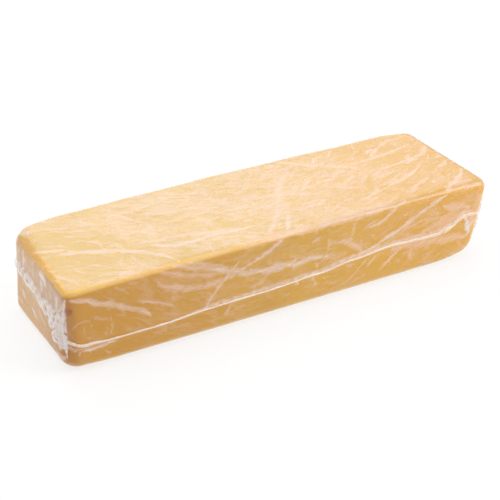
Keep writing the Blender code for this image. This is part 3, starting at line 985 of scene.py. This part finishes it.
def make_film():
    """The film over every side, clinging to the cheese and standing off it in each air wrinkle."""
    mesh, points = box_mesh("film", FILM_SPACING)
    x, y, z = points.T
    shape, white = film_marks(points)
    rise = WRINKLE_RISE * smooth(shape * 1.2) * (0.4 + 0.6 * white)
    rise = rise + FILM_WAVES * ripple(points, FILM_WAVE_LENGTH, 21)
    placed = on_block(points, rise - FILM_WAVES)
    placed[:, 2] = np.maximum(placed[:, 2], 0.0)
    white = np.where(on_face(points, TOP), np.minimum(white, WHITEST_ON_TOP), white)
    along, across = pull_lines(points)
    low = eased(z, 2.0, -8.0)
    near = eased(y, 8.0, -32.0)
    # Where the film is bunched on the ends: it carries a veil there, and the grey that is painted shade
    bunched = on_end(points) * eased(z, HALF[2], HALF[2] - 5.0) * (1.0 - low * mix(0.7, 1.0, near))
    upward = smooth((z - HALF[2] + TOP_EDGE_RADIUS) / TOP_EDGE_RADIUS)
    upward = upward * eased(x, -HALF[0], 9.0 - HALF[0])
    keep_values(mesh, air=shape, white=white, along=along, across=across)
    keep_values(mesh, haze=haze_amount(points), bunched=bunched, upward=upward)
    material = film_material("film", 0.01, 0.78, crinkle=0.08, hazy=0.46)
    return fit(finish_mesh("film", mesh, placed), "film", material)


def make_seam_rim():
    """The fused rim of the seam: a thin raised bead along the front."""
    mesh, along, round_it = strip_mesh("film_seam_rim", 260, 6)
    x = (along - 0.5) * LENGTH
    wobble = ripple(as_points(x, 0.0, 0.0), 23.0, 41)
    thick = read_off(RIM_THICKNESS, x) * (1.0 + 0.15 * wobble)
    angle = round_it * math.pi
    z = seam_height(x) + SEAM_RIM / 2 + 0.25 * wobble - np.cos(angle) * SEAM_RIM * 0.5 * thick
    lift = np.minimum(np.sin(angle) * 0.85 * thick, RIM_HIGHEST) - RIM_SUNK
    sharp = as_points(x, -HALF[1], z - HALF[2])
    twist = ripple(as_points(x, z, 0.0), 4.0, 43)
    knotted = eased(x, -132.0, -148.0) + eased(x, 124.0, 136.0)
    white = (0.85 + 0.15 * wobble) * mix(1.0, 0.72, eased(x, 20.0, 110.0))
    keep_values(mesh, air=1.0 + 0.45 * twist * knotted, white=white)
    material = film_material("film_rim", 0.12, 0.70, FILM_RIM)
    return fit(finish_mesh("film_seam_rim", mesh, on_block(sharp, lift)), "film", material)


def make_seam_flap():
    """The trimmed edge of the film, pressed flat above the rim, whitish and uneven."""
    mesh, along, across = strip_mesh("film_seam_flap", 240, 8)
    x = mix(*FLAP_ENDS, along)
    grown = mix(0.25, 1.0, eased(x, *FLAP_GROWS))
    tall = SEAM_FLAP * grown * (0.86 + 0.14 * ripple(as_points(x, 0.0, 0.0), 17.0, 51))
    z = seam_height(x) + SEAM_RIM * 0.6 + tall * across
    sharp = as_points(x, -HALF[1], z - HALF[2])
    crinkle = ripple(as_points(x, z * 2.0, 0.0), 8.0, 52)
    lift = 0.25 + 0.05 * crinkle - 0.2 * eased(across, 0.8, 1.0)
    fade = eased(along, 0.0, 0.1) * eased(along, 1.0, 0.94)
    air = (0.75 + 0.3 * crinkle) * (1.0 - 0.55 * eased(across, 0.45, 1.0))
    keep_values(mesh, air=air * fade, white=0.70 * fade)
    material = film_material("film_flap", 0.0, 0.68, FILM_FLAP)
    return fit(finish_mesh("film_seam_flap", mesh, on_block(sharp, lift)), "film", material)


def make_gather(name, end, lobes_from, seed):
    """The bunched film across one end, folded, crumpled and white."""
    mesh, along, across = strip_mesh(name, 150, 48)
    y = (along - 0.5) * (WIDTH + 2.0 * GATHER_REACH)
    lower, upper = gather_edges(y, lobes_from)
    lowest = mix(lower - 1.0, LOBE_LOW, eased(y, lobes_from - 2.0, lobes_from - 6.0))
    z = mix(np.minimum(lowest, lower - 1.0), upper, across)
    depth = gather_depth(y, z, lobes_from)
    turned = np.maximum(0.0, np.abs(y) - HALF[1])
    proud = mix(GATHER_PROUD, GATHER_PROUD_AT_EDGE, np.minimum(1.0, np.abs(y) / HALF[1]) ** 4)
    fade = 1.0 - eased(turned, 0.0, GATHER_REACH)
    whitish = 1.0 - smooth(turned / mix(2.2, 1.0, eased(z, GATHER_HIGH, GATHER_HIGH + 6.0)))
    crumple = 1.0 - 2.0 * np.abs(ripple(as_points(y, z, 0.0), 8.0, seed)) ** 0.8
    folds = gather_folds(y, z)
    dome = eased(depth, 0.0, 6.0)
    lift = (0.6 * proud + 0.5 * FOLD_DEPTH * folds) * dome + 0.1 + 0.15 * crumple * dome
    lift = lift * fade - 1.5 * eased(depth, 0.0, -1.5)
    sharp = as_points(end * (HALF[0] - turned), np.clip(y, -HALF[1], HALF[1]), z - HALF[2])
    rim = eased(depth, 0.0, 1.2) * smooth((upper - z) / 4.0)
    lip = np.exp(-((depth - 1.6) / 1.1) ** 2) * eased(z, GATHER_HIGH, GATHER_HIGH - 4.0)
    lip = lip * (0.7 + 0.5 * crumple)
    air = (0.56 + 0.20 * folds + 0.24 * crumple + 0.35 * lip) * rim ** 0.5 * whitish
    keep_values(mesh, air=air, white=rim * whitish)
    material = film_material(name, 0.0, 0.78, FILM_GATHER, ragged_by=0.3, crinkle=0.25)
    return fit(finish_mesh(name, mesh, on_block(sharp, lift)), "film", material)


def make_back_crease():
    """The crease of the film along the back, thin and low."""
    mesh, along, round_it = strip_mesh("film_back_crease", 200, 4)
    x = (along - 0.5) * LENGTH
    wobble = ripple(as_points(x, 0.0, 0.0), 27.0, 61)
    angle = round_it * math.pi
    z = mix(GATHER_HIGH, SEAM_COURSE[-1][1], along) + CREASE_HALF_WIDTH + 0.3 * wobble
    z = z - np.cos(angle) * CREASE_HALF_WIDTH
    lift = np.sin(angle) * CREASE_HIGH - CREASE_SUNK
    sharp = as_points(x, HALF[1], z - HALF[2])
    keep_values(mesh, air=np.full(len(x), 0.9), white=0.7 + 0.2 * wobble)
    material = film_material("film_crease", 0.1, 0.7)
    return fit(finish_mesh("film_back_crease", mesh, on_block(sharp, lift)), "film", material)


def make_camera():
    """The camera at the photo's view, aimed a little off the block's middle."""
    level = math.cos(VIEW_ELEVATION)
    back = Vector((
        math.sin(VIEW_AZIMUTH) * level, -math.cos(VIEW_AZIMUTH) * level, math.sin(VIEW_ELEVATION)
    ))
    right = (-back).cross(Vector((0.0, 0.0, 1.0))).normalized()
    up = right.cross(-back)
    middle = Vector(CENTRE_SHIFT * MM) + Vector((0.0, 0.0, HALF[2] * MM))
    camera = show("camera", bpy.data.cameras.new("camera"))
    camera.data.lens = FOCAL_LENGTH
    camera.data.sensor_width = SENSOR_WIDTH
    camera.location = middle + right * AIM_RIGHT + up * AIM_UP + back * VIEW_DISTANCE
    aim(camera, -back)
    bpy.context.scene.camera = camera


def make_floor():
    """A floor that is pale mostly by its own glow, so that the block's shadow on it stays faint."""
    shape = bmesh.new()
    bmesh.ops.create_grid(shape, x_segments=1, y_segments=1, size=FLOOR_HALF)
    floor = show("floor", mesh_from("floor", shape))
    floor.location.z = -FLOOR_GAP
    g = Graph("floor")
    paint = g.node("ShaderNodeBsdfDiffuse", Color=FLOOR_PAINT)
    glow = g.node("ShaderNodeEmission", Color=WHITE, Strength=FLOOR_GLOW)
    both = g.node("ShaderNodeAddShader")
    g.feed_all(both.inputs, (paint.outputs[0], glow.outputs[0]))
    floor.data.materials.append(g.finish(both.outputs[0]))


def make_lights():
    """Soft area lights, and a dim white room round them."""
    for name, place, target, (wide, high), watts in LIGHTS:
        light = bpy.data.lights.new(name, "AREA")
        light.shape = "RECTANGLE"
        light.size = wide
        light.size_y = high
        light.energy = watts
        lamp = show(name, light)
        lamp.location = place
        aim(lamp, Vector(target) - Vector(place))
    world = bpy.data.worlds.new("studio")
    bpy.context.scene.world = world
    world.use_nodes = True
    background = world.node_tree.nodes["Background"]
    background.inputs["Color"].default_value = WHITE
    background.inputs["Strength"].default_value = ROOM_LIGHT
    bpy.context.scene.view_settings.view_transform = "Standard"


make_camera()
make_cheese()
make_film()
make_seam_rim()
make_seam_flap()
make_gather("film_gather_left", -1, LEFT_LOBES_FROM, 71)
make_gather("film_gather_right", 1, RIGHT_LOBES_FROM, 72)
make_back_crease()
make_floor()
make_lights()
